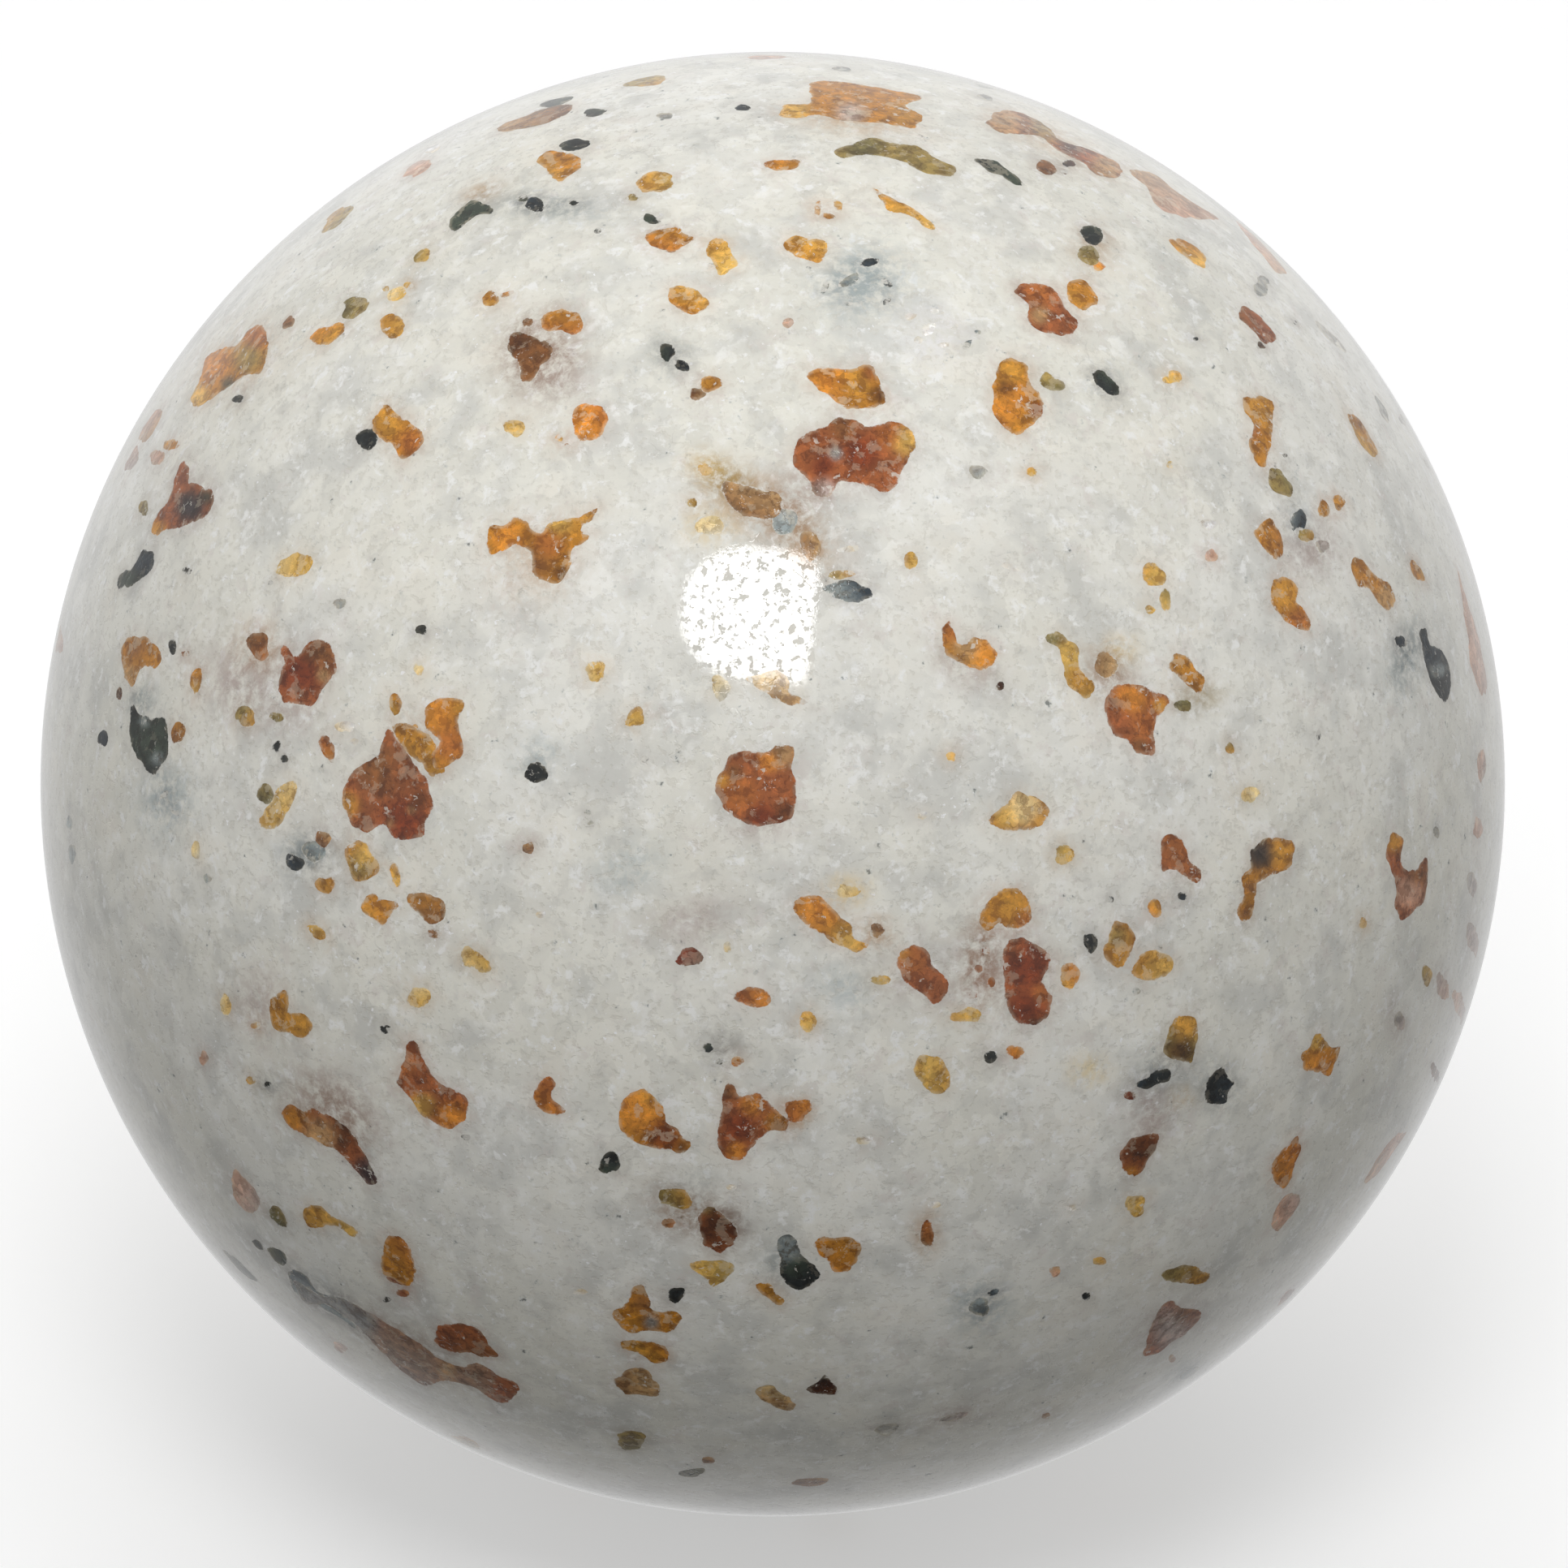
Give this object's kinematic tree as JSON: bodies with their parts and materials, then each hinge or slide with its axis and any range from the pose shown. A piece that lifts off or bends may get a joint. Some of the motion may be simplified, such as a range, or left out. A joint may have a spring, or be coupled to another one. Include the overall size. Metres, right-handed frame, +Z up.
{
  "type": "polished stone ball",
  "caption": "Polished round marble ball with flush amber, rust, olive and black mineral crystals set in its white body.",
  "frame": {"origin": "centre of the ball", "axes": "+Z up; the side with the best figure faces -Y, raised 30 degrees"},
  "size_m": [0.0572, 0.0572, 0.0572],
  "materials": {
    "marble": "white crystalline marble, polished",
    "amber": "clear amber and yellow crystals, polished",
    "rust": "red-brown crystals, polished",
    "olive": "olive-brown crystals, polished",
    "black": "black and green-black crystals, polished"
  },
  "bodies": {
    "root": {"amber_crystal_01": "amber", "amber_crystal_02": "amber", "amber_crystal_03": "amber", "amber_crystal_04": "amber", "amber_crystal_05": "amber", "amber_crystal_06": "amber", "amber_crystal_07": "amber", "amber_crystal_08": "amber", "amber_crystal_09": "amber", "amber_crystal_10": "amber", "amber_crystal_11": "amber", "amber_crystal_12": "amber", "amber_crystal_13": "amber", "amber_crystal_14": "amber", "amber_crystal_15": "amber", "amber_crystal_16": "amber", "amber_crystal_17": "amber", "amber_crystal_18": "amber", "amber_crystal_19": "amber", "amber_crystal_20": "amber", "amber_crystal_21": "amber", "amber_crystal_22": "amber", "amber_crystal_23": "amber", "amber_crystal_24": "amber", "amber_crystal_25": "amber", "amber_crystal_26": "amber", "amber_crystal_27": "amber", "black_crystal_01": "black", "black_crystal_02": "black", "black_crystal_03": "black", "black_crystal_04": "black", "black_crystal_05": "black", "marble_body": "marble", "olive_crystal_01": "olive", "olive_crystal_02": "olive", "olive_crystal_03": "olive", "olive_crystal_04": "olive", "rust_crystal_01": "rust", "rust_crystal_02": "rust", "rust_crystal_03": "rust", "rust_crystal_04": "rust", "rust_crystal_05": "rust", "rust_crystal_06": "rust", "rust_crystal_07": "rust", "rust_crystal_08": "rust", "rust_crystal_09": "rust", "rust_crystal_10": "rust", "rust_crystal_11": "rust", "rust_crystal_12": "rust", "rust_crystal_13": "rust", "rust_crystal_14": "rust", "rust_crystal_15": "rust", "rust_crystal_16": "rust", "rust_crystal_17": "rust", "rust_crystal_18": "rust", "rust_crystal_19": "rust", "rust_crystal_20": "rust", "rust_crystal_21": "rust", "rust_crystal_22": "rust"}
  },
  "joints": []
}
